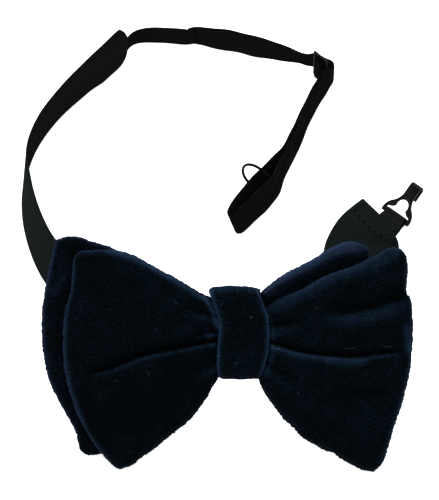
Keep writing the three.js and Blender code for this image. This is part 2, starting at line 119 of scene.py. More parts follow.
class MetalSettings(bpy.types.PropertyGroup):
    edge: size("Edge", "Radius of the stamped edges", 0.14)
    wire: size("Ring wire", "Thickness of the eye ring's wire", 1.1)
    enamel: colour("Enamel", "Black enamel", "#040405")
    # A lighter grey for the hook's edges: enamel worn thin there, and a painted highlight along them
    rubbed_and_highlight: colour("Rubbed edge", "Enamel rubbed thin along the edges", "#5A5A60")


class StageSettings(bpy.types.PropertyGroup):
    elevation: FloatProperty(
        name="Elevation", description="Height of the camera over the table", default=math.radians(50),
        subtype="ANGLE", unit="ROTATION")
    distance: size("Distance", "From the camera to the bow", 1100)
    lens: FloatProperty(
        name="Lens", description="Focal length on a 36 mm sensor, in mm", default=229.7, min=1)
    aim: FloatVectorProperty(
        name="Aim", description="Point in the middle of the picture", size=3,
        default=(-0.00075, -0.04306, 0.04851), subtype="TRANSLATION", unit="LENGTH")
    floor: colour("Floor", "White table", "#FFFFFF")


class BowTieSettings(bpy.types.PropertyGroup):
    bow: PointerProperty(type=BowSettings)
    strap: PointerProperty(type=StrapSettings)
    metal: PointerProperty(type=MetalSettings)
    stage: PointerProperty(type=StageSettings)


# Curves and small sums

def smooth(share):
    share = np.clip(share, 0, 1)
    return share * share * (3 - 2 * share)


def eased(share, amount):
    """A share from 0 to 1, drawn towards both ends by an amount."""
    return (1 - amount) * share + amount * (0.5 - 0.5 * np.cos(math.pi * share))


def roll(distance, radius):
    """Height share of a rolled rim: 0 at its edge and 1 from its radius inwards."""
    return np.sqrt(1 - (1 - np.clip(distance / radius, 0, 1)) ** 2)


def curve(points, measured=None, per_stretch=24):
    """A smooth curve through points, as a function of the share of its length.

    The length is measured in the first columns alone where the others hold something else.
    """
    given = np.array(points, float)
    measured = measured or given.shape[1]
    knots = np.vstack([2 * given[0] - given[1], given, 2 * given[-1] - given[-2]])
    pace = np.linalg.norm(np.diff(knots[:, :measured], axis=0), axis=1) ** 0.5
    t = np.linspace(0, 1, per_stretch, endpoint=False)[:, None]
    dense = []
    for k in range(1, len(given)):
        before, start, end, after = knots[k - 1:k + 3]
        p0, p1, p2 = pace[k - 1:k + 2]
        leave = (start - before) / p0 * p1 - (end - before) / (p0 + p1) * p1 + (end - start)
        arrive = (end - start) - (after - start) / (p1 + p2) * p1 + (after - end) / p2 * p1
        dense.append(
            start * (2 * t ** 3 - 3 * t ** 2 + 1) + leave * (t ** 3 - 2 * t ** 2 + t)
            + end * (3 * t ** 2 - 2 * t ** 3) + arrive * (t ** 3 - t ** 2))
    dense = np.vstack(dense + [given[-1:]])
    steps = np.linalg.norm(np.diff(dense[:, :measured], axis=0), axis=1)
    length = np.concatenate([[0], np.cumsum(steps)])

    def at(share):
        return np.stack([np.interp(share, length / length[-1], column) for column in dense.T], axis=-1)

    at.length = length[-1]
    return at


def beside(u, v, route):
    """Distance to a curve, positive above it, and the share of its length at the nearest point."""
    line = curve(route)(np.linspace(0, 1, 50))
    nearest = np.full(u.shape, np.inf)
    signed = np.zeros(u.shape)
    along = np.zeros(u.shape)
    for k, ((u0, v0), (u1, v1)) in enumerate(zip(line, line[1:])):
        du, dv = u1 - u0, v1 - v0
        t = np.clip(((u - u0) * du + (v - v0) * dv) / (du * du + dv * dv), 0, 1)
        over = v - v0 - t * dv
        distance = np.hypot(u - u0 - t * du, over)
        closer = distance < nearest
        nearest = np.where(closer, distance, nearest)
        signed = np.where(closer, np.where(over < 0, -distance, distance), signed)
        along = np.where(closer, (k + t) / (len(line) - 1), along)
    return signed, along


# Meshes

def linked(name, data):
    made = bpy.data.objects.new(name, data)
    bpy.context.scene.collection.objects.link(made)
    return made


def shaped(name, bm, materials):
    """A new object with the bmesh's shape."""
    mesh = bpy.data.meshes.new(name)
    bm.to_mesh(mesh)
    bm.free()
    for one in materials:
        mesh.materials.append(one)
    return linked(name, mesh)


def finished(name, bm, materials, replaces=()):
    """The bmesh as a piece of the bow tie, riding on its body."""
    piece = shaped(name, bm, materials)
    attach(piece, BODY)
    if replaces:
        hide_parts(*replaces)
    return piece


def pillow(columns, rows, place, two_sided=False):
    """A closed skin: its front and its back are the halves of one grid, sewn together along their edges.

    place(s, q, face) takes the shares along and across and the face, 1 in front and -1 behind, and
    returns points in metres, with a dictionary of values that the materials read.
    """
    bm = bmesh.new()
    bmesh.ops.create_grid(bm, x_segments=columns, y_segments=2 * rows, size=0.5)
    for face in bm.faces:
        face.smooth = True
        face.material_index = int(two_sided and face.calc_center_median().y > 0)
    s, t = (np.array([vert.co.xy for vert in bm.verts]) + 0.5).T
    points, values = place(s, 1 - np.abs(2 * t - 1), np.where(t < 0.5, 1, -1))
    for name, value in values.items():
        if value.ndim > 1:
            layer = bm.verts.layers.float_vector.new(name)
        else:
            layer = bm.verts.layers.float.new(name)
        for vert, item in zip(bm.verts, value.tolist()):
            vert[layer] = item
    for vert, point in zip(bm.verts, points):
        vert.co = point
    bmesh.ops.remove_doubles(bm, verts=bm.verts, dist=0.001 * MM)
    bmesh.ops.recalc_face_normals(bm, faces=bm.faces)
    return bm


def in_bow(u, v, w):
    """Millimetres across, up and out of the bow, as points of the frame."""
    return BOW_START + MM * (u[:, None] * BOW_ACROSS + v[:, None] * BOW_UP + w[:, None] * BOW_OUT)


# Materials

def set_inputs(tree, node, inputs):
    """Sets a node's inputs by name or number, each to a value or to a socket that is linked to it."""
    for key, value in inputs.items():
        if isinstance(value, bpy.types.NodeSocket):
            tree.links.new(value, node.inputs[key])
        else:
            node.inputs[key].default_value = value


def add(tree, kind, inputs, output=0, stops=(), **options):
    """Adds a node with its settings and, on a ramp, stops of a place and a colour. Returns an output."""
    made = tree.nodes.new("ShaderNode" + kind)
    for key, value in options.items():
        setattr(made, key, value)
    set_inputs(tree, made, inputs)
    elements = made.color_ramp.elements if stops else []
    while len(elements) < len(stops):
        elements.new(0.5)
    for element, (place, shade) in zip(elements, stops):
        element.position, element.color = place, (*shade, 1)
    return made.outputs[output]


def material(name, **sockets):
    """A material with a Principled shader, with that shader's sockets set by name."""
    made = bpy.data.materials.new(name)
    made.use_nodes = True
    tree = made.node_tree
    shader = tree.nodes["Principled BSDF"]
    set_inputs(tree, shader, {key.replace("_", " "): value for key, value in sockets.items()})
    return made, tree, shader


def settings():
    return bpy.context.scene.bow_tie


def scaled(shade, factor):
    return tuple(factor * part for part in shade)


def wave_scale(period):
    """The Wave texture's scale for bands that repeat at this period."""
    return 2 * math.pi / (20 * period)


def velvet(name, highlight_colour):
    """Silk velvet, a cut pile: nearly black where the pile stands, with painted shade and painted blue
    highlights.
    """
    bow = settings().bow
    made, tree, shader = material(
        name, Roughness=0.95, Sheen_Weight=0.055, Sheen_Roughness=0.36, Sheen_Tint=(*bow.sheen, 1),
        Specular_IOR_Level=0.01)
    weave = add(tree, "Attribute", {}, "Vector", attribute_name="weave")
    # An attribute of painted light: painted highlights on rims, ridges and patches, and painted shade in
    # creases, added to the tone
    nap_and_painted_light = add(tree, "Attribute", {}, "Fac", attribute_name="nap_and_painted_light")
    # Rows of pile half a millimetre apart, drawn as streaks 2 mm long that run across the bow
    rows = add(tree, "Mapping", {"Vector": weave, "Scale": (0.5, 2.0, 1), "Rotation": (0, 0, 0.2)})
    streaks = add(tree, "TexNoise", {"Vector": rows, "Scale": 1.0, "Detail": 3.0, "Roughness": 0.7})
    # Tufts 0.4 mm wide, and patches 8 mm wide where the pile has been brushed
    tufts = add(tree, "TexNoise", {"Vector": weave, "Scale": 2.6, "Detail": 3.0, "Roughness": 0.75})
    patches = add(tree, "TexNoise", {"Vector": weave, "Scale": 0.13, "Detail": 3.0})
    grain = add(tree, "Math", {0: streaks, 1: tufts}, operation="ADD")
    fine = add(tree, "MapRange", {
        "Value": grain, "From Min": 0.75, "From Max": 1.25, "To Min": -0.17, "To Max": 0.17})
    broad = add(tree, "MapRange", {
        "Value": patches, "From Min": 0.3, "From Max": 0.7, "To Min": 0.3, "To Max": 0.39})
    tone = add(tree, "Math", {0: nap_and_painted_light, 1: broad}, operation="ADD")
    tone = add(tree, "Math", {0: tone, 1: fine}, operation="ADD", use_clamp=True)
    # The tone's stops: painted shade deep in a fold, the standing pile, a painted highlight and a brighter
    # painted highlight over a rim
    shade = add(tree, "ValToRGB", {"Fac": tone}, stops=[
        (0, bow.shadow), (0.35, bow.nap_and_painted_light), (0.7, highlight_colour), (1, scaled(highlight_colour, 2.4))])
    relief = add(tree, "Bump", {"Height": grain, "Distance": 0.3 * MM, "Strength": 0.9})
    set_inputs(tree, shader, {"Base Color": shade, "Normal": relief})
    return made


def twill(name, cloth, gloss, sheen):
    """Satin-backed twill: fine diagonal ribs with a dull shine, and a stitched hem at one end."""
    made, tree, shader = material(
        name, Roughness=gloss, Specular_IOR_Level=0.0, Sheen_Weight=sheen, Sheen_Roughness=0.4,
        Sheen_Tint=(*linear("#FFE9F4"), 1))
    weave = add(tree, "Attribute", {}, "Vector", attribute_name="weave")
    # Ribs 0.6 mm apart, a little coarser than the cloth's 0.45 mm so that they show
    turned = add(tree, "Mapping", {"Vector": weave, "Rotation": (0, 0, math.radians(58))})
    ribs = add(tree, "TexWave", {
        "Vector": turned, "Scale": wave_scale(0.6), "Distortion": 1.4, "Detail": 2.0}, "Fac")
    slubs = add(tree, "TexNoise", {"Vector": weave, "Scale": 1.6, "Detail": 5.0})
    # A row of stitches along the hem, dashes of thread in the groove that they pull, with painted shade in
    # the groove
    along, over = (add(tree, "SeparateXYZ", {"Vector": weave}, axis) for axis in "XY")
    off = add(tree, "Math", {0: over, 1: HEM["fan"], 2: along}, operation="MULTIPLY_ADD")
    off = add(tree, "Math", {0: off, 1: HEM["deep"] + HEM["wide"] * HEM["fan"]}, operation="SUBTRACT")
    off = add(tree, "Math", {0: off}, operation="ABSOLUTE")
    groove = add(tree, "MapRange", {"Value": off, "From Min": 0.5, "From Max": 0.15})
    turns = add(tree, "Math", {0: over, 1: 2 * math.pi / HEM["stitch"]}, operation="MULTIPLY")
    dashes = add(tree, "Math", {0: turns}, operation="SINE")
    dashes = add(tree, "MapRange", {"Value": dashes, "From Min": -0.5, "From Max": 0.0})
    thread = add(tree, "Math", {0: groove, 1: dashes}, operation="MULTIPLY")
    tone = add(tree, "Math", {0: ribs, 1: slubs}, operation="MULTIPLY")
    tone = add(tree, "Math", {0: thread, 1: 0.75, 2: tone}, operation="MULTIPLY_ADD")
    # Painted shade darkens the stitched groove
    tone = add(tree, "Math", {0: groove, 1: -0.5, 2: tone}, operation="MULTIPLY_ADD")
    shade = add(tree, "ValToRGB", {"Fac": tone}, stops=[
        (0, scaled(cloth, 0.25)), (0.45, scaled(cloth, 1.8)), (1, scaled(cloth, 3.6))])
    height = add(tree, "Math", {0: thread, 1: 2.0, 2: ribs}, operation="MULTIPLY_ADD")
    relief = add(tree, "Bump", {"Height": height, "Distance": 0.1 * MM, "Strength": 0.7})
    set_inputs(tree, shader, {"Base Color": shade, "Normal": relief})
    return made


def ribbed_tape(name, cloth, lift):
    """Woven elastic tape: ribs along it 0.9 mm apart, crossed by weft threads 0.5 mm apart."""
    made, tree, shader = material(name, Roughness=0.65, Specular_IOR_Level=0.0)
    weave = add(tree, "Attribute", {}, "Vector", attribute_name="weave")
    ribs = add(tree, "TexWave", {
        "Vector": weave, "Scale": wave_scale(0.9), "Distortion": 0.2}, "Fac", bands_direction="Y")
    weft = add(tree, "TexWave", {
        "Vector": weave, "Scale": wave_scale(0.5), "Distortion": 0.3}, "Fac", bands_direction="X")
    height = add(tree, "Math", {0: weft, 1: 0.35, 2: ribs}, operation="MULTIPLY_ADD")
    shade = add(tree, "ValToRGB", {"Fac": height}, stops=[
        (0, scaled(cloth, 0.35)), (1, scaled(cloth, lift))])
    relief = add(tree, "Bump", {"Height": height, "Distance": 0.15 * MM, "Strength": 0.8})
    set_inputs(tree, shader, {"Base Color": shade, "Normal": relief})
    return made


def enamel(name, black, gloss):
    """Stamped steel under black stoving enamel: uneven over 1.4 mm, and glossier where it is worn thin."""
    made, tree, shader = material(
        name, Specular_IOR_Level=gloss, Coat_Weight=0.3 * gloss, Coat_Roughness=0.15)
    place = add(tree, "TexCoord", {}, "Object")
    wear = add(tree, "TexNoise", {"Vector": place, "Scale": 700.0, "Detail": 4.0})
    shade = add(tree, "ValToRGB", {"Fac": wear}, stops=[(0.6, black), (0.75, scaled(black, 3))])
    rough = add(tree, "MapRange", {"Value": wear, "To Min": 0.3, "To Max": 0.5})
    relief = add(tree, "Bump", {"Height": wear, "Distance": 0.03 * MM, "Strength": 0.5})
    set_inputs(tree, shader, {"Base Color": shade, "Roughness": rough, "Normal": relief})
    return made


# Bow layers: border curves of each wing, in millimetres across and up from the knot's back middle.
# top and bottom run out from the pinch, and outer runs down from the top corner.

WINGS = {
    "front left": {
        "top": [(-8.1, 11.9), (-12.1, 13.2), (-19.4, 17.7), (-30, 23.5), (-34.1, 25.9), (-38.8, 27.9),
                (-44.7, 29), (-51.7, 28.7), (-55.2, 28.2), (-56.8, 26.9)],
        "outer": [(-56.8, 26.9), (-57.4, 24.8), (-57.8, 20), (-58.4, 14.1), (-59.9, 9.4), (-60.8, 2.4),
                  (-60.9, -6.4), (-60.2, -13.4), (-57, -25.2), (-50.5, -37.5), (-44.1, -45.1),
                  (-41.6, -46.8)],
        "bottom": [(-5.6, -12.4), (-7.2, -14.9), (-9.4, -18.1), (-11.2, -21.7), (-17.7, -30.1),
                   (-21.2, -32.9), (-25.9, -36.6), (-30, -40), (-34.1, -42.8), (-37, -45.2),
                   (-41.6, -46.8)],
    },
    "front right": {
        "top": [(8.1, 8.2), (11.4, 10.9), (15.5, 13), (21.4, 15.3), (27.2, 18.8), (33.1, 21.4),
                (37.8, 22.9), (42.5, 25), (47.2, 27.3), (51.9, 29.7), (55.2, 29.2), (57.4, 26.8)],
        "outer": [(57.4, 26.8), (57.8, 22.4), (57.4, 17.6), (57.4, 14.1), (58.9, 11.8), (59.4, 6),
                  (59.5, -0.5), (58.6, -12.3), (56, -23.4), (53.1, -32.2), (51.3, -38.1), (49, -44.5),
                  (46, -47.5)],
        "bottom": [(5.0, -12.4), (6.1, -15.2), (8.5, -20.5), (11.4, -24.5), (14.9, -29.3), (18.4, -32.4),
                   (21.4, -35.7), (25.5, -38.1), (29, -40.1), (32, -41), (34.8, -43.1), (38.4, -45.1),
                   (41.9, -46.9), (46, -47.5)],
    },
    "back left": {
        "top": [(-8.1, 11.6), (-19, 16.5), (-32, 23.4), (-42.9, 29.1), (-46.4, 30.5), (-51.1, 31.8),
                (-55.2, 33.4), (-59.3, 33.6), (-63.6, 32.4)],
        "outer": [(-63.6, 32.4), (-65.2, 25.9), (-66.6, 18.8), (-67.8, 12.4), (-68.5, 2), (-68.1, -6.4),
                  (-65.8, -16.4), (-61, -26.3), (-56.7, -34), (-55.9, -37.5), (-55.4, -39.7),
                  (-54.2, -41.1)],
        "bottom": [(-5.4, -11.6), (-9.6, -16.5), (-14, -22.5), (-22, -29), (-32, -35.5), (-42, -40.5),
                   (-49.9, -41.9), (-52.6, -42.0), (-54.2, -41.1)],
    },
    "back right": {
        "top": [(5.5, 12.6), (6.8, 13.9), (8.9, 15.8), (12.6, 18.8), (16.7, 21.4), (21.4, 23.8),
                (26.1, 26.4), (30.2, 29.1), (34.3, 31), (37.8, 31.8), (41.4, 31.3), (43.8, 29.7),
                (44.7, 27.4)],
        "outer": [(44.7, 27.4), (44.6, 24), (47.5, 15), (53, 0), (52, -12), (49, -24), (43, -38)],
        "bottom": [(5.0, -11.4), (9.4, -17), (12.5, -23), (18, -28.5), (26, -33.5), (34, -37), (43, -38)],
    },
}

# Creases of each wing's face: the route that one runs along, its depth, how far the velvet rolls into it
# above and below, how much wider it gets above, the height of the ridge below it, the strength of the
# painted highlight on that ridge, and the lengths over which the crease fades in and out
FOLDS = {
    "front left": [
        ([(-5, -2.0), (-9.3, -2.4), (-21.2, -4.6), (-33.8, -7.3), (-41.7, -10.4), (-47.6, -12.4),
          (-55, -13.6)], 2.0, 0.9, 0.7, 2.6, 0.3, 0.16, 0, 12),
        ([(-6, 6), (-13, 7.6), (-20, 9.6)], 0.5, 1.3, 1.1, 0, 0.3, 0.1, 0, 8),
        ([(-6, 1.2), (-12, 0.6), (-18, -0.4)], 0.7, 0.9, 0.7, 0, 0.3, 0.2, 0, 8),
        ([(-6, -8), (-13, -11.4), (-21, -16)], 0.5, 1.5, 1.3, 0, 0.2, 0.1, 0, 10),
    ],
    "front right": [
        ([(6, -2.2), (12.8, -3.4), (20, -5.6), (27.2, -6.7), (34.5, -7.3), (41, -7.4), (48, -6.4),
          (55.8, -5.5)], 1.7, 0.9, 0.7, 0.5, 0.5, 0.2, 0, 6),
        ([(28, 7.0), (33.1, 8.0), (39, 8.6), (44, 9.4), (48, 10.4), (53, 12.4), (58.5, 14.6)],
         1.3, 2.8, 2.1, 0, 0.6, 0.12, 9, 0),
        ([(30, -22.5), (42, -21), (53, -19.5)], 0.8, 3.2, 3.0, 0, 0, 0, 10, 8),
        ([(6, 2), (14, 3.4), (23, 5.4)], 0.5, 1.6, 1.4, 0, 0.3, 0.1, 0, 9),
        ([(6, -8), (13, -12.4), (21, -18)], 0.5, 1.5, 1.3, 0, 0.2, 0.1, 0, 10),
    ],
    "back right": [
        ([(7, 12.6), (14, 17.4), (22, 21.4), (32, 26.6), (41.5, 28.6)], -2.0, 3.0, 2.6, 0, 0, 0, 2, 2),
    ],
    "behind left": [
        ([(-6, 3), (-20, 6), (-38, 11), (-56, 15)], 1.5, 1.6, 1.0, 0.8, 0.4, 0, 0, 14),
        ([(-6, -4), (-18, -9), (-34, -16)], 1.1, 1.4, 1.0, 0.8, 0.3, 0, 0, 12),
    ],
    "behind right": [
        ([(6, 1), (18, 1.5), (32, -1), (44, -4)], 1.5, 1.6, 1.0, 0.8, 0.4, 0, 0, 12),
        ([(6, 6), (16, 12), (28, 18)], 1.0, 1.4, 1.0, 0.8, 0.3, 0, 0, 10),
    ],
}

# Patches of painted highlight, or of painted shade where the amount is below 0: the layer, a route along
# the patch, its half width and how much it lightens
PAINTED_LIGHT_PATCHES = [
    ("front", [(-12.0, 12.4), (-9.6, 8.4), (-8.2, 4.4), (-7.4, 1.4)], 0.9, 0.55),
    ("front", [(-11.6, 0.8), (-10.2, -1.6), (-9.6, -3.6)], 0.8, 0.25),
    ("front", [(-44.5, 28.2), (-36, 25.6), (-28, 21.6), (-20, 17.0), (-13, 12.8)], 1.3, 0.3),
    ("front", [(-57, 24), (-57.5, 18), (-58.6, 11), (-60, 3), (-60, -7), (-58, -19), (-53, -31)],
     0.8, 0.12),
    ("front", [(11, 8.6), (20, 12.8), (31, 18.6), (42, 22.6), (53, 27.2)], 2.2, 0.22),
    ("front", [(30.5, -9.2), (36.2, -9.9), (42, -9.4)], 1.4, 0.2),
    ("front", [(30, 4.8), (40, 6.0), (52, 9.6)], 2.2, 0.1),
    ("front", [(57.0, 2.4), (58.0, -5.5)], 1.3, 0.3),
    ("front", [(10.6, 5), (11.2, -2), (10.6, -9), (8.6, -14)], 0.8, 0.25),
    ("front", [(13, -5.2), (22, -7.6), (29, -8.6)], 1.6, 0.14),
    ("back", [(9, 15), (16.7, 20.4), (26.1, 25.2), (34.3, 29.6), (40, 29.8)], 3.0, 0.36),
    ("back", [(-61.0, 19.6), (-62.6, 16.6), (-64.4, 13.4)], 1.4, 0.1),
    ("front", [(-20, -20), (-35, -26), (-48, -28)], 12.0, -0.05),
]

# The layers meet at this height over the knot's back, a gap apart, with their outlines this far from it
LAYER_SPLIT = 9.15
LAYER_GAP = 0.3
UNDERSIDE = 1.5

# The knot grips them between these heights and over this share of their length, each in a thickness
PINCH = {"top": 12.8, "bottom": -12.2, "share": 0.07, "front": 6.2, "back": 4.8}

# How far the columns and rows of the meshes are drawn towards the rims
OUTER_EASE = 0.45
ROW_EASE = 0.5
KNOT_EASE = 0.4

# Padding of a wing: its length to the outer rim, the share over which it grows out of the pinch, how far
# from the rims its crown is full, and its unevenness with the wave of it
PADDING = {"length": 50, "growth": 0.33, "reach": 15, "uneven": 0.35, "wave": 23}

# The rim stands up in a bead: its height, its place in radii of the rim and its width
BEAD = {"height": 0.3, "place": 0.8, "width": 1.2}

# A painted highlight along the outline over this reach, taken back by painted shade along the lower edge
OUTLINE = {"open": 0.38, "reach": 0.8, "shade": 0.9, "shade_reach": 8}

# How far the pile's tips stray along the outline
FUZZ = 0.45

# The cloth's pattern on a back face lies this far from the one on its front face
VELVET_FACES = 3.0
STRIP_FACES = 5.0


def wing(borders, out, up):
    """A point of a wing between its four borders, out from the pinch and up from bottom to top."""
    top, outer, bottom = (curve(borders[name]) for name in ("top", "outer", "bottom"))
    out, up = out[:, None], up[:, None]
    inner = bottom(0) + (top(0) - bottom(0)) * up
    corners = (1 - out) * inner + out * (bottom(1) + (top(1) - bottom(1)) * up)
    across = (1 - up) * bottom(out[:, 0]) + up * top(out[:, 0])
    return across + (1 - out) * inner + out * outer(1 - up[:, 0]) - corners


def creases(layer, side, u, v):
    """How deep the folds cut into one wing's face, and the painted light there: highlights on ridges,
    shade in creases.
    """
    depth, nap_and_painted_light = np.zeros(u.shape), np.zeros(u.shape)
    for route, deep, above, below, flare, ridge, shine, *fades in FOLDS.get(f"{layer} {side}", ()):
        over, along = beside(u, v, route)
        length = curve(route).length
        fade = np.ones(u.shape)
        for way, fade_length in zip((along, 1 - along), fades):
            if fade_length:
                fade = fade * smooth(way * length / fade_length)
        above = above * (1 + flare * along)
        cut = np.exp(-np.where(over > 0, np.abs(over / above) ** 1.15, np.abs(over / below) ** 1.5))
        # The ridge stands 2.4 widths below the crease, and its painted highlight is brightest a little
        # above its top
        raised = np.exp(-((over + 2.4 * below) / (1.6 * below)) ** 2)
        depth += fade * (deep * cut - ridge * raised)
        nap_and_painted_light += fade * shine * np.exp(-((over + 1.9 * below) / (1.1 * below)) ** 2)
        # Painted shade: a dark line along each crease, and a little more on the side above it
        if deep > 0:
            line = min(1, 0.7 / below) * np.exp(-(over / (0.6 * below)) ** 2)
            nap_and_painted_light -= fade * min(1, deep / 2) * (0.8 * line + 0.2 * cut * (over > 0))
    # Patches of painted highlight, and of painted shade where the amount is below 0
    for place, route, reach, amount in PAINTED_LIGHT_PATCHES:
        if place == layer and (route[0][0] < 0) == (side == "left"):
            over, _ = beside(u, v, route)
            nap_and_painted_light += amount * np.exp(-(over / reach) ** 2)
    return depth, nap_and_painted_light


def ripple(u, v, length, phase):
    """A gentle unevenness of padding, from -1 to 1, with waves of about this length."""
    turn = 2 * math.pi / length
    return np.sin(turn * (0.8 * u + 0.5 * v) + phase) * np.sin(turn * (0.7 * v - 0.4 * u) + 1.7 * phase)


def fuzz(s, q, seed):
    """An unevenness from -0.5 to 0.5 that is the same on both faces of a pillow."""
    return (np.sin(s * 1297.1 + q * 3181.7 + seed) * 43758.5) % 1 - 0.5


def layer_place(layer, seed):
    """The place of one layer of the bow, for pillow()."""
    bow = settings().bow
    rim, crown, pile = bow.rim / MM, bow.crown / MM, bow.pile / MM
    outwards = 1 if layer == "front" else -1
    near = LAYER_SPLIT + outwards * LAYER_GAP / 2
    middle = near + outwards * UNDERSIDE
    pinch = PINCH[layer] - UNDERSIDE

    def place(s, q, face):
        along = np.abs(2 * s - 1)
        share = np.clip((along - PINCH["share"]) / (1 - PINCH["share"]), 0, 1)
        out = (1 - OUTER_EASE) * share + OUTER_EASE * np.sin(share * math.pi / 2)
        up = eased(q, ROW_EASE)
        flat = np.zeros((len(s), 2))
        depth, nap_and_painted_light, pleat, height = (np.zeros(len(s)) for _ in range(4))
        for side, here in (("left", s < 0.5), ("right", s >= 0.5)):
            borders = WINGS[f"{layer} {side}"]
            flat[here] = wing(borders, out[here], up[here])
            top, bottom = curve(borders["top"]), curve(borders["bottom"])
            height[here] = np.linalg.norm(top(out[here]) - bottom(out[here]), axis=1)
            depth[here], nap_and_painted_light[here] = creases(layer, side, *flat[here].T)
            if layer == "back":
                pleat[here], _ = creases("behind", side, *flat[here].T)
        tucked = np.clip(1 - along / PINCH["share"], 0, 1)[:, None]
        waist = np.stack([0 * up, PINCH["bottom"] + (PINCH["top"] - PINCH["bottom"]) * up], axis=-1)
        u, v = (flat * (1 - tucked) + waist * tucked).T
        to_end = (1 - out) * PADDING["length"]
        to_side = np.minimum(up, 1 - up) * height
        to_rim = np.minimum(to_side, to_end)
        rolled = roll(to_side, rim) * roll(to_end, rim)
        grown = smooth(out / PADDING["growth"])
        swell = grown * crown * roll(to_rim, PADDING["reach"])
        swell += grown * rolled * PADDING["uneven"] * ripple(u, v, PADDING["wave"], seed)
        lifted = pinch + (rim - pinch) * grown
        bead = BEAD["height"] * grown * np.exp(-((to_rim - BEAD["place"] * rim) / BEAD["width"]) ** 2)
        faded = np.minimum(1, 1.3 * rolled)
        outer = rolled * (lifted + bead) + swell - faded * depth
        if layer == "front":
            lift = np.where(face > 0, outer, -rolled * UNDERSIDE)
        else:
            behind = faded * pleat - rolled * lifted - swell
            lift = np.where(face < 0, behind, rolled * UNDERSIDE - faded * depth)
        random = np.random.default_rng(seed)
        w = middle + lift + rolled * random.normal(0, pile, len(s))
        edge = np.exp(-(to_rim / OUTLINE["reach"]) ** 1.5)
        lit = 1 - OUTLINE["shade"] * smooth(1 - up * height / OUTLINE["shade_reach"])
        # Painted light: the creases' painted highlights and shade on the front face, and the painted
        # highlight along the outline
        nap_and_painted_light = np.where(face > 0, nap_and_painted_light, 0) * faded + OUTLINE["open"] * edge * grown * lit
        weave = np.stack([u, v, VELVET_FACES * face], axis=-1)
        u, v = (x + FUZZ * edge * fuzz(s, q, seed + k) for k, x in enumerate((u, v)))
        return in_bow(u, v, w), {"nap_and_painted_light": nap_and_painted_light, "weave": weave}

    return place


class BOWTIE_OT_layers(bpy.types.Operator):
    """Make the two padded velvet layers of the bow"""
    bl_idname = "bow_tie.layers"
    bl_label = "Bow layers"

    def execute(self, context):
        bow = settings().bow
        # Each layer's painted highlights: more purple on the back layer, blue on the front
        for layer, seed, highlight_colour in (("back", 3, bow.violet_painted_highlight), ("front", 8, bow.spread)):
            bm = pillow(bow.columns, bow.rows, layer_place(layer, seed))
            cloth = velvet(f"Navy velvet of the {layer}", highlight_colour)
            piece = finished(f"velvet_{layer}_layer", bm, [cloth], [f"bow_{layer}"])
        return {"FINISHED"}


# Knot: its sides in front, as height up the bow and place across it, its size round the layers, its
# padding with the padding's unevenness, and its painted highlight along its sides and on top

KNOT_LEFT = [(-16, -7.7), (-10, -7.9), (-5, -7.8), (0, -7.3), (3, -7.1), (6, -7.7), (10, -9.0),
             (13, -10.2), (16, -11.4)]
KNOT_RIGHT = [(-16, 6.4), (-11, 8.3), (-6.4, 9.6), (0, 10.1), (5.9, 9.7), (10, 8.2), (14, 6.7), (16, 5.5)]
KNOT = {"bottom": -14.8, "top": 15.6, "depth": 17.8, "behind": 7.1, "wall": 1.8, "front_corner": 5.0,
        "back_corner": 3.0}
KNOT_PADDING = {"rim": 1.5, "crown": 1.0, "reach": 9, "inside": 0.3, "uneven": 0.18, "wave": 7}
KNOT_PAINTED_LIGHT = {"side": 0.6, "reach": 0.9, "top": 0.4, "top_from": 12, "top_over": 4}


def knot_path(share):
    """The band's way round the layers, as heights up and out of the bow, with its outward side."""
    k = KNOT
    half = k["wall"] / 2
    low, high, back, front = k["bottom"] + half, k["top"] - half, half, k["depth"] - half
    r, b = k["front_corner"] - half, k["back_corner"] - half
    points = []
    for corner_v, corner_w, radius, start in (
            (high - b, back + b, b, -90), (high - r, front - r, r, 0), (low + r, front - r, r, 90),
            (low + b, back + b, b, 180)):
        for angle in np.radians(np.linspace(start, start + 90, 9)):
            points.append((corner_v + radius * np.cos(angle), corner_w + radius * np.sin(angle)))
    middle = ((low + high) / 2, back)
    loop = np.array([middle] + points + [middle])
    length = np.concatenate([[0], np.cumsum(np.linalg.norm(np.diff(loop, axis=0), axis=1))])
    length /= length[-1]

    def at(x):
        return np.stack([np.interp(x % 1, length, column) for column in loop.T], axis=-1)

    tangent = at(share + 0.004) - at(share - 0.004)
    tangent /= np.linalg.norm(tangent, axis=1)[:, None]
    return at(share), np.stack([tangent[:, 1], -tangent[:, 0]], axis=-1)


def knot_place(s, q, face):
    (v, w), (side_v, side_w) = (part.T for part in knot_path(s))
    front = smooth((w - KNOT["back_corner"]) / (KNOT["depth"] - 2 * KNOT["back_corner"]))
    left = np.interp(v, *np.array(KNOT_LEFT).T) * front - KNOT["behind"] * (1 - front)
    right = np.interp(v, *np.array(KNOT_RIGHT).T) * front + KNOT["behind"] * (1 - front)
    across = eased(q, KNOT_EASE)
    to_side = np.minimum(across, 1 - across) * (right - left)
    u = left + (right - left) * across + FUZZ * np.exp(-to_side ** 2) * fuzz(s, q, 1.0)
    padding, pile = KNOT_PADDING, KNOT_PAINTED_LIGHT
    wall = roll(to_side, padding["rim"]) * KNOT["wall"] / 2
    uneven = padding["uneven"] * ripple(u, 0.35 * v, padding["wave"], 2.0)
    bulge = front * (padding["crown"] * roll(to_side, padding["reach"]) + uneven)
    lift = np.where(face > 0, wall + bulge, padding["inside"] * bulge - wall)
    rough = np.random.default_rng(5).normal(0, settings().bow.pile / MM, len(s))
    lift = lift + rough * roll(to_side, padding["rim"])
    # Painted highlight along the knot's sides, and on its front top where the light falls
    nap_and_painted_light = pile["side"] * np.exp(-(to_side / pile["reach"]) ** 1.5)
    nap_and_painted_light = nap_and_painted_light + pile["top"] * smooth((v - pile["top_from"]) / pile["top_over"]) * (face > 0)
    weave = np.stack([u, v + w, VELVET_FACES * face], axis=-1)
    return in_bow(u, v + side_v * lift, w + side_w * lift), {"nap_and_painted_light": nap_and_painted_light, "weave": weave}


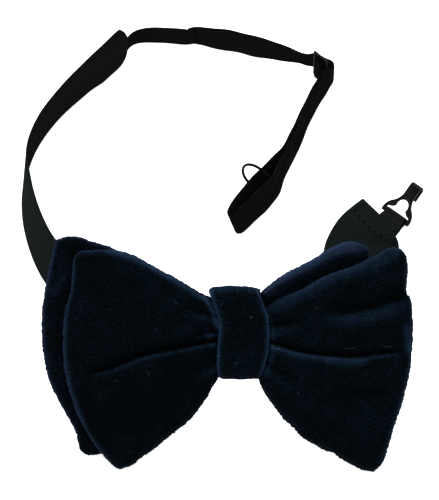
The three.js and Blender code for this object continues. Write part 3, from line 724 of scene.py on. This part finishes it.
class BOWTIE_OT_knot(bpy.types.Operator):
    """Make the velvet band sewn round the middle of the bow"""
    bl_idname = "bow_tie.knot"
    bl_label = "Knot"

    def execute(self, context):
        cloth = velvet("Navy velvet of the knot", settings().bow.spread)
        piece = finished("velvet_knot", pillow(260, 44, knot_place), [cloth], ["knot"])
        return {"FINISHED"}


# Strap: stations in millimetres from the knot's foot, with the direction from the lower edge to the upper
# one and, where the strap is stretched or squeezed, its own width

def stations(width, rows):
    return [row if len(row) > 6 else (*row, width) for row in rows]


NECKBAND = [
    (51.8, 71.4, 3.2, -0.6, 0.8, 0),
    (49.4, 68.5, 3.15, -0.74, 0.67, 0, 20.8),
    (47.2, 64.6, 2.7, -0.9, 0.42, 0, 23.6),
    (45.2, 58.8, 1.0, -0.985, 0.16, 0.05, 26.6),
    (43, 50, 2.2, -0.97, 0.12, 0.14, 26),
    (38, 37.5, 7.2, -0.72, 0.55, 0.32, 22),
    (30.5, 22, 14.0, -0.4, 0.76, 0.48),
    (22, 8.5, 20.2, -0.16, 0.78, 0.6),
    (14, 1.2, 23.6, -0.03, 0.766, 0.643),
    (9, -1.8, 25.4, 0, 0.766, 0.643),
    (0, -1.8, 25.4, 0, 0.766, 0.643),
    (-9, -1.8, 25.4, 0, 0.766, 0.643),
    (-14, 0.2, 24.0, 0.03, 0.766, 0.643),
    (-24, 5, 21.4, 0.14, 0.74, 0.65),
    (-38, 13.5, 17.4, 0.22, 0.62, 0.75),
    (-54, 27.5, 12.5, 0.28, 0.4, 0.87),
    (-67.4, 43.2, 9.6, 0.28, 0.15, 0.95),
    (-73.7, 57.5, 9.7, 0.25, 0.07, 0.96),
    (-77.6, 74.1, 9.85, 0.19, 0.02, 0.98),
    (-78.4, 90, 9.97, 0.09, -0.01, 0.99),
    (-74.9, 105.3, 9.97, 0.09, -0.04, 0.99),
    (-67.2, 120.4, 9.95, 0.09, -0.06, 0.99),
    (-57.3, 133.9, 10.02, 0.04, -0.03, 1),
    (-49.6, 143.4, 10.05, 0, 0, 1),
    (-45.4, 149.0, 10.05, 0, 0, 1),
    (-41.9, 151.8, 10.05, 0, 0, 1),
]

BAND_TAPE = [
    (-43.0, 151.2, 8.8, 0, 0, 1, 6.4),
    (-41.4, 154.2, 8.4, 0, 0, 1, 6.5),
    (-39.8, 157.2, 6.9, 0, 0.1, 1, 6.6),
    (-38.0, 159.5, 5.5, 0, 0.1, 1, 7.0),
    (-35.5, 160.8, 4.7, 0, 0.1, 1, 7.2),
    (-31.5, 161.2, 4.4, 0, 0.05, 1, 8.1),
    (-25, 161.0, 4.3, 0, 0.02, 1),
    (-19.5, 160.3, 4.4, 0, 0, 1, 8.3),
    (-16.6, 159.9, 4.7, 0, 0, 1, 7.0),
]

ADJUSTER_UPPER = [
    (-19.2, 161.4, 4.5, 0, 0, 1, 7.0),
    (-17.2, 161.0, 4.7, 0, 0, 1, 8.6),
    (-14.2, 160.6, 4.65, 0, 0.04, 1),
    (-9.5, 159.4, 4.6, 0, 0.2, 1, 9.4),
    (-2.2, 157.8, 4.65, 0, 0.24, 1, 9.6),
    (5.8, 155.2, 4.8, 0, 0.24, 1, 9.6),
    (14.3, 152.4, 5.0, 0, 0.1, 1, 9.0),
    (19.6, 150.6, 4.8, 0, 0, 1, 7.6),
    (23.6, 149.2, 4.5, 0, -0.04, 1, 6.4),
    (26.6, 147.8, 4.8, 0, -0.02, 1, 6.6),
]

ADJUSTER_INNER = [
    (32.6, 136.4, 6.0, -0.12, 0.03, 1),
    (29.4, 130, 5.4, -0.16, 0.06, 1),
    (26.4, 123, 4.9, -0.16, 0.06, 1),
    (23.4, 115, 4.8, -0.16, 0.06, 1),
    (20.2, 106.5, 5.0, -0.15, 0.06, 1),
    (17, 98.6, 5.6, -0.13, 0.06, 1),
    (12.6, 92.2, 6.1, -0.1, 0.05, 1),
    (8.2, 86.5, 6.1, -0.08, 0.05, 1),
    (4.2, 80.8, 6.0, -0.14, 0.09, 1),
    (0.6, 74.6, 5.6, -0.24, 0.16, 1),
    (-2.0, 69.8, 4.9, -0.32, 0.2, 1),
    (-2.7, 67.2, 4.8, -0.36, 0.2, 1),
    (-2.1, 65.6, 4.8, -0.36, 0.2, 1),
    (-0.9, 65.6, 4.8, -0.36, 0.2, 1),
    (1.4, 67.9, 4.85, -0.34, 0.22, 1, 9.4),
    (5.6, 72.8, 5.1, -0.27, 0.2, 1, 10.2),
    (9.8, 77.9, 5.35, -0.24, 0.16, 1, 10.7),
    (13.6, 83.7, 5.35, -0.2, 0.12, 1, 10.6),
    (15.9, 91.4, 5.1, -0.17, 0.08, 1, 10.2),
    (18.7, 98.9, 4.9, -0.16, 0.06, 1, 9.8),
    (20.9, 104.0, 4.6, -0.2, 0.06, 1, 8.6),
    (21.9, 106.9, 4.7, -0.24, 0.06, 1, 8.4),
    (24.4, 114.6, 5.2, -0.3, 0.06, 1, 7.8),
    (27.3, 122.6, 5.4, -0.34, 0.06, 1, 7.4),
    (30.5, 129.5, 5.6, -0.26, 0.06, 1, 7.8),
    (33.9, 136.0, 6.0, -0.12, 0.03, 1, 8.8),
]

# Widths of the two tapes where no station has its own
LEAD_WIDTH = 8.5
TAPE_WIDTH = 9.2

# The hem folded under at the band's right end: its depth at the upper edge, how much deeper it gets with
# each millimetre towards the lower edge, the band's width there, the step that the hem makes in the cloth
# with the length of its slope, and the length of a stitch
HEM = {"deep": 4.3, "fan": 0.42, "wide": 19, "step": 0.22, "slope": 0.8, "stitch": 2.4}

# The band's left end is puffed by the tape sewn into it: the puff's height and length, the lengths over
# which it rises, ends and falls to the sides, and its unevenness with that one's wave
PUFF = {"height": 1.2, "length": 20, "rise": 8, "end": 4, "side": 6, "uneven": 0.3, "wave": 11}

# All strips: the share of the length over which a rounded end is cut back and the power of its curve, and
# the lengths of a serration of the edge and of a wave of the cloth, with the way that a wave runs across
STRIP = {"cut": 0.2, "cut_power": 2.5, "serration": 1.1, "wave": 15, "wave_across": 9}

# Slide: a ladder of three upright bars, with its directions along its short sides and out of the loop
SLIDE = {"bar": 0.8, "pitch": 3.6, "tall": 12.1, "middle": (31.5, 142.8), "heading": -49.5}
HUG = 0.25
SLIP = 0.3


def wrap(bar, radius, start, end, width=TAPE_WIDTH):
    """Stations round one of the slide's bars, from one angle to another, 30 degrees apart or less."""
    heading = math.radians(SLIDE["heading"])
    steps = max(1, math.ceil(abs(end - start) / 30))
    rows = []
    for step in range(steps + 1):
        angle = math.radians(start + (end - start) * step / steps)
        along = bar + radius * math.cos(angle)
        out = radius * math.sin(angle)
        x = SLIDE["middle"][0] + along * math.cos(heading) - out * math.sin(heading)
        y = SLIDE["middle"][1] + along * math.sin(heading) + out * math.cos(heading)
        rows.append((x, y, SLIDE["tall"] / 2, 0, 0, 1, width))
    return rows


def adjuster_stations():
    thickness = settings().strap.tape_thickness / MM
    close = math.hypot(SLIDE["bar"], SLIDE["bar"]) / 2 + HUG + thickness / 2
    outer = close + thickness + SLIP
    pitch = SLIDE["pitch"]
    return stations(TAPE_WIDTH, [
        *ADJUSTER_UPPER, *wrap(-pitch, close, 115, 25, 7.6), *wrap(0, outer, 200, 340),
        *wrap(pitch, close, 155, 25), *ADJUSTER_INNER, *wrap(pitch, outer, 25, 105),
        *wrap(0, close, 80, 335),
    ])


def strip_place(rows, thickness, end_round=0.0, puff=0.0, serrated=0.0, wavy=0.0, ribs=0,
                rib_depth=0.0, rounded=0.4):
    """The place of a flat strip along its stations, for pillow().

    One with a puff is hemmed at its near end and swells in front at its far end.
    """
    route = curve(rows, measured=3, per_stretch=10)
    length = route.length

    def place(s, q, face):
        near_end = smooth((s - 1 + STRIP["cut"]) / STRIP["cut"])
        cut_back = end_round * np.abs(2 * q - 1) ** STRIP["cut_power"] * near_end
        share = s * (1 - cut_back / length)
        row = route(share)
        ahead, behind = route(np.minimum(share + 0.001, 1)), route(np.maximum(share - 0.001, 0))
        across = row[:, 3:6] / np.linalg.norm(row[:, 3:6], axis=1)[:, None]
        normal = np.cross(ahead[:, :3] - behind[:, :3], across)
        normal /= np.linalg.norm(normal, axis=1)[:, None]
        width = row[:, 6] + serrated * np.sin(share * length * 2 * math.pi / STRIP["serration"])
        waves = ripple(share * length, STRIP["wave_across"] * q, STRIP["wave"], 1.1)
        from_middle = (q - 0.5) * width + wavy * (2 * q - 1) * waves
        to_side = np.minimum(q, 1 - q) * width
        to_end = np.minimum(s, 1 - s) * length
        rim = roll(to_side, rounded) * roll(to_end, rounded)
        lift = face * rim * (thickness / 2 - rib_depth)
        if ribs:
            lift = lift + face * rim * rib_depth * np.cos(2 * math.pi * ribs * q)
        if puff:
            hem_edge = HEM["deep"] + HEM["fan"] * (HEM["wide"] - q * width)
            stepped = 1 - smooth((s * length - hem_edge) / HEM["slope"])
            lift = lift + face * rim * HEM["step"] * stepped
            left = (1 - s) * length
            swollen = smooth((PUFF["length"] - left) / PUFF["rise"]) * roll(left, PUFF["end"])
            swollen *= roll(to_side, PUFF["side"])
            swollen *= 1 + PUFF["uneven"] * ripple(share * length, from_middle, PUFF["wave"], 0.6)
            lift = lift + (face > 0) * puff * swollen
        at = row[:, :3] + across * from_middle[:, None] + normal * lift[:, None]
        at[:, 2] = np.maximum(at[:, 2], 0)
        weave = np.stack([share * length, q * width, STRIP_FACES * face], axis=-1)
        return KNOT_FOOT + MM * at, {"weave": weave}

    place.length = length
    return place


class BOWTIE_OT_strap(bpy.types.Operator):
    """Make the neckband and the tapes that lead from it"""
    bl_idname = "bow_tie.strap"
    bl_label = "Strap"

    def execute(self, context):
        strap = settings().strap
        outer = twill("Twill face", strap.twill, 0.5, 0.012)
        lining = twill("Twill lining", strap.lining, 0.62, 0.0)
        place = strip_place(
            stations(strap.band_width / MM, NECKBAND), strap.band_thickness / MM,
            end_round=strap.end_round / MM, puff=PUFF["height"], rounded=0.45)
        band = finished("twill_neckband", pillow(420, 26, place, two_sided=True), [lining, outer],
                        ["neckband"])
        tape = ribbed_tape("Ribbed tape", strap.tape, 1.8)
        thickness = strap.tape_thickness / MM
        lead = strip_place(
            stations(LEAD_WIDTH, BAND_TAPE), thickness, serrated=0.08, wavy=0.2, ribs=9, rib_depth=0.06)
        finished("band_tape_woven", pillow(120, 54, lead), [tape], ["band_tape"])
        loop = strip_place(
            adjuster_stations(), thickness, serrated=0.08, wavy=0.28, ribs=10, rib_depth=0.06)
        # A lighter, more purple copy of the tape on the inner face: painted light
        inside = ribbed_tape("Ribbed tape, inside", strap.tape_inside_painted_light, 1.9)
        finished("adjuster_tape_woven", pillow(760, 60, loop, two_sided=True), [tape, inside],
                 ["adjuster_tape"])
        return {"FINISHED"}


# Hook, as its tab follows it: its bar's middle, the way its tongue points and how steeply its plate rises
HOOK = {"bar": (57.4, 71.3, 2.2), "bar_half": 0.6, "thick": 0.9, "heading": 46, "rise": 35}
TAB = {"width": TAPE_WIDTH, "flare": 2.6, "thickness": 0.8, "tail": 7}


def tab_stations():
    rise, heading = math.radians(HOOK["rise"]), math.radians(HOOK["heading"])
    bar_z = HOOK["bar"][2]
    lift = HOOK["thick"] / 2 + HUG + TAB["thickness"] / 2
    round_bar = HOOK["bar_half"] + SLIP + TAB["thickness"] / 2

    def in_plate(along, over):
        return (along * math.cos(rise) - over * math.sin(rise),
                bar_z + along * math.sin(rise) + over * math.cos(rise))

    # From the tail over the bar, round it and back, as the way ahead of it and the height
    profile = [
        (-TAB["tail"], 1.5), (-5, 1.55), (-3.4, 1.95), (-2.1, 2.55),
        in_plate(-HOOK["bar_half"], lift), in_plate(0.3, lift), in_plate(1.1, lift * 0.85),
        in_plate(round_bar, 0.4), in_plate(round_bar, -0.4), in_plate(1.1, -lift * 0.85),
        in_plate(0.3, -lift), (0.3, 0.85), (-1.2, 0.55), (-3.6, 0.42), (-TAB["tail"], 0.42),
    ]
    dx, dy = math.cos(heading), math.sin(heading)
    return [(HOOK["bar"][0] + ahead * dx, HOOK["bar"][1] + ahead * dy, z, -dy, dx, 0,
             TAB["width"] + TAB["flare"] * max(0, -1 - ahead) / (TAB["tail"] - 1))
            for ahead, z in profile]


def stamped(name, node, edge, rubbed_and_highlight, gloss):
    """A copy of a frame node with its faces joined and its edges rounded over in their own colour, on the
    hook a lighter grey of worn enamel and painted highlight.
    """
    bm = bmesh.new()
    bm.from_mesh(frame["nodes"][node].data)
    bmesh.ops.remove_doubles(bm, verts=bm.verts, dist=0.002 * MM)
    bmesh.ops.dissolve_limit(bm, angle_limit=math.radians(1), verts=bm.verts, edges=bm.edges)
    sharp = [e for e in bm.edges if len(e.link_faces) == 2 and e.calc_face_angle() > math.radians(35)]
    bmesh.ops.bevel(bm, geom=sharp, offset=edge, offset_type="OFFSET", segments=3, profile=0.5,
                    affect="EDGES", material=1, clamp_overlap=True)
    for face in bm.faces:
        face.smooth = True
    metal = settings().metal
    coats = [enamel(f"{name} enamel", metal.enamel, 0.05), enamel(f"{name} rubbed edge", rubbed_and_highlight, gloss)]
    return finished(name, bm, coats, [node])


# Eye ring: its middle on the table plan and the heading that it faces across
RING = {"middle": (6.5, 86.5), "outer": 6.6, "heading": 145}


class BOWTIE_OT_metal(bpy.types.Operator):
    """Make the hook with its tab, the slide and the eye ring"""
    bl_idname = "bow_tie.metal"
    bl_label = "Hook, slide and ring"

    def execute(self, context):
        metal = settings().metal
        # The hook's edges take the lighter grey: worn enamel and a painted highlight
        stamped("stamped_hook", "hook", metal.edge, metal.rubbed_and_highlight, 0.4)
        stamped("stamped_slide", "slide", 1.4 * metal.edge, metal.enamel, 0.06)
        tab = strip_place(tab_stations(), TAB["thickness"], serrated=0.05, ribs=10, rib_depth=0.08)
        cloth = ribbed_tape("Tab tape", settings().strap.tape, 4.5)
        finished("hook_tab_woven", pillow(120, 60, tab), [cloth], ["hook_tab"])
        self.ring(metal.wire)
        return {"FINISHED"}

    def ring(self, wire):
        radius = RING["outer"] * MM - wire / 2
        bm = bmesh.new()
        upright = Matrix.Rotation(math.pi / 2, 4, "X")
        section = bmesh.ops.create_circle(
            bm, segments=16, radius=wire / 2, matrix=Matrix.Translation((radius, 0, 0)) @ upright)
        bmesh.ops.spin(bm, geom=section["verts"] + bm.edges[:], cent=(0, 0, 0), axis=(0, 0, 1),
                       angle=2 * math.pi, steps=72, use_merge=True, use_duplicate=False)
        middle = Vector(KNOT_FOOT) + Vector((*RING["middle"], RING["outer"])) * MM
        turn = Matrix.Rotation(math.radians(RING["heading"]), 4, "Z")
        bmesh.ops.transform(bm, matrix=Matrix.Translation(middle) @ turn @ upright, verts=bm.verts)
        bmesh.ops.recalc_face_normals(bm, faces=bm.faces)
        for face in bm.faces:
            face.smooth = True
        coat = enamel("Ring enamel", settings().metal.enamel, 0.03)
        finished("wire_eye_ring", bm, [coat], ["eye_ring"])


# Lint that clings to the velvet: its place across and up the bow, its length, all in millimetres, its
# heading in degrees and its thickness
LINT = [
    (-1.5, -10.0, 0.7, 40, 0.2), (-44.7, 8.6, 0.6, 80, 0.16), (11.3, -4.0, 3.4, 72, 0.1),
    (12.8, -5.1, 1.8, 20, 0.1), (-31.4, -13.4, 1.9, 112, 0.13), (3.8, 5.9, 0.7, 10, 0.16),
    (-6.2, 10.4, 0.7, 60, 0.16), (19.9, -20.3, 0.7, 30, 0.18), (-42.4, -15.9, 1.5, 150, 0.1),
    (50.4, -4.3, 4.4, -8, 0.06), (37.8, -5.0, 4.0, 8, 0.05), (46.0, -7.2, 2.6, 20, 0.06),
    (26.5, 9.0, 1.0, 70, 0.05), (-22.0, 10.5, 1.2, 20, 0.07),
]
LINT_STEPS = 6

# Rays that find the velvet under the lint start this far out of the bow
LINT_ABOVE = 30


class BOWTIE_OT_lint(bpy.types.Operator):
    """Lay the few pale fibres that cling to the velvet"""
    bl_idname = "bow_tie.lint"
    bl_label = "Lint"

    def execute(self, context):
        context.view_layer.update()
        graph = context.evaluated_depsgraph_get()
        velvets = [BVHTree.FromObject(bpy.data.objects[name], graph)
                   for name in ("velvet_knot", "velvet_front_layer")]
        bm = bmesh.new()
        for across, up, length, heading, thickness in LINT:
            middle = Vector(in_bow(*np.array([[across], [up], [LINT_ABOVE]]))[0])
            self.fibre(bm, velvets, middle, length * MM, math.radians(heading), thickness * MM)
        bmesh.ops.recalc_face_normals(bm, faces=bm.faces)
        lint, tree, shader = material("Lint", Roughness=0.9, Specular_IOR_Level=0.1)
        place = add(tree, "TexCoord", {}, "Object")
        mixed = add(tree, "TexNoise", {"Vector": place, "Scale": 90.0})
        shade = add(tree, "ValToRGB", {"Fac": mixed}, stops=[
            (0.3, linear("#232B33")), (0.7, linear("#59636E"))])
        set_inputs(tree, shader, {"Base Color": shade})
        finished("lint", bm, [lint])
        return {"FINISHED"}

    def fibre(self, bm, velvets, middle, length, turn, thickness):
        """A thin curved tube, laid on the first velvet under its middle line."""
        inwards = Vector(-BOW_OUT)
        along = Vector(math.cos(turn) * BOW_ACROSS + math.sin(turn) * BOW_UP)
        side = along.cross(inwards)
        rings = []
        for step in range(LINT_STEPS + 1):
            t = step / LINT_STEPS - 0.5
            start = middle + length * (t * along + 0.5 * t * t * side)
            place = next(hit[0] for hit in (tree.ray_cast(start, inwards) for tree in velvets) if hit[0])
            half = 0.5 * thickness * (1 - 0.7 * (2 * t) ** 4)
            axes = Matrix((side, inwards, along)).transposed().to_4x4()
            verts = bmesh.ops.create_circle(
                bm, segments=4, radius=half,
                matrix=Matrix.Translation(place - inwards * half) @ axes)["verts"]
            rings.append(list(dict.fromkeys(edge for vert in verts for edge in vert.link_edges)))
        for one, two in zip(rings, rings[1:]):
            bmesh.ops.bridge_loops(bm, edges=one + two)
        for ring in (rings[0], rings[-1]):
            bmesh.ops.contextual_create(bm, geom=ring)


# Soft boxes: name, place in metres, power in watts and width in metres
LIGHTS = [
    ("Back softbox", (0.1, 0.75, 1.05), 16, 0.9),
    ("Left softbox", (-1.0, -0.1, 0.9), 6, 0.8),
    ("Front softbox", (0.5, -0.9, 1.1), 4, 1.0),
]


class BOWTIE_OT_stage(bpy.types.Operator):
    """Lay the white table, hang the lights and set up the camera"""
    bl_idname = "bow_tie.stage"
    bl_label = "Stage"

    def execute(self, context):
        stage = settings().stage
        bm = bmesh.new()
        bmesh.ops.create_grid(bm, x_segments=2, y_segments=2, size=3.0)
        white, _, _ = material(
            "White table", Base_Color=(*stage.floor, 1), Roughness=0.9, Specular_IOR_Level=0.0,
            Emission_Color=(1, 1, 1, 1), Emission_Strength=0.8)
        table = shaped("table", bm, [white])

        # The Standard view keeps the white table white, as it is in the photo
        context.scene.view_settings.view_transform = "Standard"
        world = context.scene.world or bpy.data.worlds.new("Studio")
        context.scene.world = world
        world.use_nodes = True
        sky = world.node_tree.nodes["Background"]
        set_inputs(world.node_tree, sky, {"Color": (1, 1, 1, 1), "Strength": 0.45})

        for name, place, watts, width in LIGHTS:
            lamp = bpy.data.lights.new(name, "AREA")
            lamp.energy, lamp.size = watts, width
            hung = linked(name, lamp)
            hung.location = place
            hung.rotation_euler = (Vector(stage.aim) - Vector(place)).to_track_quat("-Z", "Y").to_euler()

        camera = bpy.data.cameras.new("Camera")
        camera.lens, camera.sensor_width, camera.sensor_fit = stage.lens, 36, "AUTO"
        viewer = linked("Camera", camera)
        back = Vector((0, -math.cos(stage.elevation), math.sin(stage.elevation)))
        viewer.location = Vector(stage.aim) + stage.distance * back
        viewer.rotation_euler = (math.pi / 2 - stage.elevation, 0, 0)
        camera.clip_start = 0.05
        context.scene.camera = viewer
        return {"FINISHED"}


class BOWTIE_PT_panel(bpy.types.Panel):
    bl_label = "Velvet Bow Tie"
    bl_idname = "BOWTIE_PT_panel"
    bl_space_type = "VIEW_3D"
    bl_region_type = "UI"
    bl_category = "Bow Tie"

    def draw(self, context):
        tie = context.scene.bow_tie
        for group in (tie.bow, tie.strap, tie.metal, tie.stage):
            box = self.layout.box()
            for name in group.bl_rna.properties.keys():
                if name not in ("rna_type", "name"):
                    box.prop(group, name)
        for step in STEPS:
            self.layout.operator(step.bl_idname)


STEPS = (
    BOWTIE_OT_stage, BOWTIE_OT_layers, BOWTIE_OT_knot, BOWTIE_OT_strap, BOWTIE_OT_metal, BOWTIE_OT_lint)
CLASSES = (
    BowSettings, StrapSettings, MetalSettings, StageSettings, BowTieSettings, *STEPS, BOWTIE_PT_panel)


def register():
    for kind in CLASSES:
        bpy.utils.register_class(kind)
    bpy.types.Scene.bow_tie = PointerProperty(type=BowTieSettings)


def unregister():
    del bpy.types.Scene.bow_tie
    for kind in reversed(CLASSES):
        bpy.utils.unregister_class(kind)


def main():
    register()
    bpy.ops.bow_tie.stage()
    bpy.ops.bow_tie.layers()
    bpy.ops.bow_tie.knot()
    bpy.ops.bow_tie.strap()
    bpy.ops.bow_tie.metal()
    bpy.ops.bow_tie.lint()


if __name__ == "__main__":
    main()
